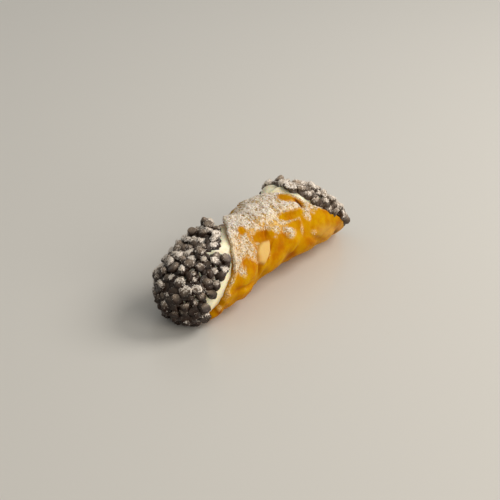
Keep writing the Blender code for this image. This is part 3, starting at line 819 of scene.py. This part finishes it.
def makeChips(name, setup, material):
    # every chip is one outline, mixed between a drop's and a pebble's and carried round its axis; then each
    # is stretched, bent, made lumpy by a sine, leaned and sunk a little differently
    chance = np.random.default_rng(setup["seed"])
    spot, normal, shown = scatterOnEnd(setup, chance)
    count = len(spot)
    frames = randomTurns(count, normal, chance)
    drop, pebble = np.array(chips["drop"]), np.array(chips["pebble"])
    each = (count, 1, 1)
    mix = chance.uniform(0, 1, each) ** 1.3
    outline = drop[None] * (1 - mix) + pebble[None] * mix
    segments, rows = chips["segments"], len(drop) - 2
    around = np.linspace(0, 2 * math.pi, segments, endpoint=False)
    ringRadius, ringHeight = outline[:, 1:-1, 0, None], outline[:, 1:-1, 1, None]
    ring = np.stack([ringRadius * np.cos(around), ringRadius * np.sin(around),
                     np.broadcast_to(ringHeight, (count, rows, segments))], -1).reshape(count, -1, 3)
    poles = np.zeros((count, 2, 3))
    poles[:, 0, 2], poles[:, 1, 2] = outline[:, 0, 1], outline[:, -1, 1]
    half = 0.5 * setup["width"] * chance.uniform(*chips["widths"], each)
    stretch = np.concatenate([half * chance.uniform(0.88, setup["long"], each), half,
                              setup["height"] * chance.uniform(*chips["heights"], each)], -1)
    shape = np.concatenate([ring, poles], 1) * stretch
    bend = chance.uniform(-chips["bend"], chips["bend"], (count, 1, 2))
    shape[..., :2] += bend * (shape[..., 2:3] / setup["height"]) ** 2
    wave = 1.7 * shape[..., 0:1] + 1.3 * shape[..., 2:3] + chance.uniform(0, 6, each)
    shape = shape * (1.0 + chips["lumps"] * np.sin(wave))
    middleHeight = 0.45 * setup["height"]
    shape[..., 2] -= middleHeight
    turned = np.einsum("nij,nkj->nki", frames, shape)
    height = middleHeight - chips["sunk"] + chance.uniform(-chips["lift"], chips["lift"], count)
    points = spot[:, None] + normal[:, None] * height[:, None, None] + turned
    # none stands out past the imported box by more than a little, and none sinks into the table
    low, high = [np.array(corner) / mm for corner in cadBox]
    points = points - np.maximum(0.0, points.max(1) - high - chips["pastBox"])[:, None]
    points = points + np.maximum(0.0, low - chips["pastBox"] - points.min(1))[:, None]
    points[..., 2] += np.maximum(0.0, 0.1 - points[..., 2].min(1))[:, None]
    sides, beside = gridFaces(rows, segments, closed=True), (np.arange(segments) + 1) % segments
    bottomPole, top = np.full(segments, rows * segments), (rows - 1) * segments
    base = np.stack([bottomPole, beside, np.arange(segments)], -1)
    tip = np.stack([bottomPole + 1, top + np.arange(segments), top + beside], -1)
    offsets = (np.arange(count) * shape.shape[1])[:, None, None]
    faceSets = [(part[None] + offsets).reshape(-1, part.shape[1]) for part in (sides, tip, base)]
    away = unit(points - points.mean(1, keepdims=True))
    ringDust = np.array(chips["dusty"])
    perPoint = np.concatenate([np.repeat(ringDust[1:-1], segments), ringDust[[0, -1]]])
    draw = chance.uniform(0.0, 1.0, (count, 1))
    level = np.where(draw < setup["frosted"], 0.75 + 0.25 * draw / setup["frosted"], 0.6 * draw ** 1.5)
    level[count - len(setup["proud"]):, 0] = [proud[3] for proud in setup["proud"]]
    dust = smoothStep(away[..., 2], -0.35, 0.8) * level * perPoint * shown[:, None]
    filmAndHighlight, filmAndHighlightMore = chips["film"]
    # film grows towards each chip's top: sugar and a painted highlight; sunk chips keep a tenth, as painted
    # shade in the gaps
    film = smoothStep(away[..., 2], 0.25, 1.0) * (filmAndHighlight + setup["hazy"] + filmAndHighlightMore * level)
    film = film * (0.1 + 0.9 * shown[:, None]) + 0.6 * setup["hazy"]
    attributes = {"dust": dust.ravel(), "film": film.ravel()}
    obj = meshObject(name, points.reshape(-1, 3), faceSets, material, attributes, flat=len(base) * count)
    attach(obj, "root")
    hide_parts(setup["replaces"])
    print(name, "pressed in:", count, "chips,", len(obj.data.polygons), "faces")
    return points[:, :rows * segments], away, dust


sugarGrains = {"onPastry": 5000, "onChips": 6000, "smallest": 0.2, "largest": 0.5, "seed": 21,
               "toneSize": 1.5, "colours": [(0.35, "e6d6c0"), (0.65, "f7efe4")]}


def makeIcingSugarMaterial():
    # Icing sugar clumped into soft white crumbs, drawn coarser than real so that it shows.
    material, tree, shader, place = newMaterial("siftedIcingSugar")
    tone = addNode(tree, "ShaderNodeTexNoise",
                   {"Vector": place, "Scale": 1 / (sugarGrains["toneSize"] * mm), "Detail": 1.0})
    colour = addNode(tree, "ShaderNodeValToRGB", {"Fac": tone.outputs["Fac"]}, sugarGrains["colours"])
    setInputs(tree, shader, {
        "Base Color": colour.outputs["Color"], "Roughness": 0.8, "IOR": 1.5,
        "Subsurface Weight": 0.2, "Subsurface Radius": (0.8, 0.7, 0.6), "Subsurface Scale": 1.0 * mm})
    return material


def makeGrains(name, spots, chance, material):
    # each crumb is an octahedron with its six corners pushed in or out
    count = len(spots)
    corners = np.array([[1, 0, 0], [0, 1, 0], [-1, 0, 0], [0, -1, 0], [0, 0, 1], [0, 0, -1]], float)
    spread = sugarGrains["largest"] - sugarGrains["smallest"]
    size = sugarGrains["smallest"] + spread * chance.uniform(0, 1, (count, 1, 1)) ** 2.2
    shape = corners[None] * 0.5 * size * chance.uniform(0.7, 1.25, (count, 6, 1))
    axis = unit(chance.normal(size=(count, 3)))
    other = unit(np.cross(axis, chance.normal(size=(count, 3))))
    frames = np.stack([axis, other, np.cross(axis, other)], -1)
    points = spots[:, None] + np.einsum("nij,nkj->nki", frames, shape)
    points[..., 2] = np.maximum(points[..., 2], 0.02)
    faces = np.array([[0, 1, 4], [1, 2, 4], [2, 3, 4], [3, 0, 4], [1, 0, 5], [2, 1, 5], [3, 2, 5], [0, 3, 5]])
    allFaces = (faces[None] + (np.arange(count) * 6)[:, None, None]).reshape(-1, 3)
    obj = meshObject(name, points.reshape(-1, 3), [allFaces], material)
    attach(obj, "root")
    print(name, "sifted:", count, "crumbs")


def siftSugar(pastrySkin, chipSets):
    # crumbs fall on the pastry in proportion to its sugar, and on the upper sides of the chips
    chance = np.random.default_rng(sugarGrains["seed"])
    material = makeIcingSugarMaterial()
    outer, weight, normal = pastrySkin["outer"], pastrySkin["sugar"], pastrySkin["normal"]
    du, dv = np.gradient(outer, axis=0), np.gradient(outer, axis=1)
    area = np.linalg.norm(np.cross(du, dv), axis=-1)
    chanceOf = (weight * area)[2:-2, 2:-2].ravel()
    picked = chance.choice(len(chanceOf), sugarGrains["onPastry"], p=chanceOf / chanceOf.sum())
    n = outer.shape[1] - 4
    row, column = picked // n + 2, picked % n + 2
    jitter = chance.uniform(-0.5, 0.5, (2, len(picked), 1))
    spots = outer[row, column] + jitter[0] * du[row, column] + jitter[1] * dv[row, column]
    spots = spots + normal[row, column] * 0.06
    makeGrains("icingSugarOnPastry", spots, chance, material)
    segments = chips["segments"]
    pieces = ("icingSugarOnLeftChips", "chips_left"), ("icingSugarOnRightChips", "chips_right")
    for (name, slot), (points, away, dust) in zip(pieces, chipSets):
        ring = points.shape[1]
        odds = (dust ** 1.5 * smoothStep(away[..., 2], -0.1, 0.6))[:, :ring]
        picked = chance.choice(odds.size, sugarGrains["onChips"], p=odds.ravel() / odds.sum())
        chip, spot = picked // ring, picked % ring
        # part of the way towards the next point round the chip and the next one up
        beside = spot // segments * segments + (spot % segments + 1) % segments
        above = np.where(spot + segments < ring, spot + segments, spot)
        here, partWay = points[chip, spot], chance.uniform(-0.5, 0.5, (2, len(picked), 1))
        spots = here + partWay[0] * (points[chip, beside] - here) + partWay[1] * (points[chip, above] - here)
        makeGrains(name, spots + 0.08 * away[chip, spot], chance, material)


studio = {
    "floor": "d4d1ca", "floorSize": 6000.0, "floorHeight": -0.02, "world": "f6f5f1", "worldStrength": 0.43,
    # soft boxes: name, direction, distance, size, watts, colour
    "boxes": [("keyFromRight", (0.80, -0.62, 0.95), 900, 520, 5.0, "fffaf4"),
              ("fillFromFront", (-0.15, -1.0, 0.40), 1100, 900, 5.2, "fff6ea")],
}


def makeFloor():
    # A table top, glazed and fired: pale and even, with a faint sheen under the pastry.
    material, tree, shader, _ = newMaterial("paleGlazedTable")
    setInputs(tree, shader, {"Base Color": linearColour(studio["floor"]), "Roughness": 0.28})
    half, z = studio["floorSize"] / 2, studio["floorHeight"]
    corners = np.array([[-half, -half, z], [half, -half, z], [half, half, z], [-half, half, z]], float)
    floor = meshObject("paleTable", corners, [np.array([[0, 1, 2, 3]])], material)


def standFacing(name, data, place, right, up, back):
    # an object at a place in millimetres, looking against its back direction
    obj = bpy.data.objects.new(name, data)
    turn = Matrix(np.array([right, up, back]).T.tolist()).to_4x4()
    obj.matrix_world = Matrix.Translation((place * mm).tolist()) @ turn
    bpy.context.scene.collection.objects.link(obj)
    return obj


def addSoftbox(name, direction, distance, size, power, colour):
    # a round area light at a distance along a direction, turned to face the pastry
    lamp = bpy.data.lights.new(name, "AREA")
    lamp.shape = "DISK"
    lamp.size = size * mm
    lamp.energy = power
    lamp.color = linearColour(colour)[:3]
    back = unit(np.array(direction, float))
    side = unit(np.cross([0, 0, 1], back))
    standFacing(name, lamp, np.array([0, 0, 15.0]) + back * distance, side, np.cross(back, side), back)


def lightStudio():
    # an even room, and the soft boxes
    world = bpy.data.worlds.new("softRoom")
    world.use_nodes = True
    background = next(node for node in world.node_tree.nodes if node.type == "BACKGROUND")
    setInputs(world.node_tree, background,
              {"Color": linearColour(studio["world"]), "Strength": studio["worldStrength"]})
    bpy.context.scene.world = world
    for box in studio["boxes"]:
        addSoftbox(*box)
    bpy.context.scene.view_settings.view_transform = "Standard"


view = {"azimuth": -56.0, "elevation": 28.5, "roll": 2.9, "distance": 650.0, "target": (5.1, 3.6, 10.0),
        "focal": 99.7, "sensor": 36.0}


def placeCamera():
    # back = (sin a cos e, -cos a cos e, sin e); the roll then turns the camera about its line of sight
    camera = bpy.data.cameras.new("camera")
    camera.lens = view["focal"]
    camera.sensor_width = view["sensor"]
    camera.clip_start = 0.05
    camera.clip_end = 20.0
    a, e, r = (math.radians(view[key]) for key in ("azimuth", "elevation", "roll"))
    back = np.array([math.sin(a) * math.cos(e), -math.cos(a) * math.cos(e), math.sin(e)])
    right = unit(np.cross(-back, [0, 0, 1]))
    up = np.cross(back, right)
    turnedRight = right * math.cos(r) + up * math.sin(r)
    turnedUp = up * math.cos(r) - right * math.sin(r)
    place = np.array(view["target"]) + back * view["distance"]
    bpy.context.scene.camera = standFacing("camera", camera, place, turnedRight, turnedUp, back)


placeCamera()
lightStudio()
makeFloor()
print("camera, lights and table placed")
pastrySkin = makePastry()
makeCream()
chocolate = makeDarkChocolateMaterial()
chipSets = [makeChips("chocolateChipsLeft", chips["left"], chocolate),
            makeChips("chocolateChipsRight", chips["right"], chocolate)]
siftSugar(pastrySkin, chipSets)
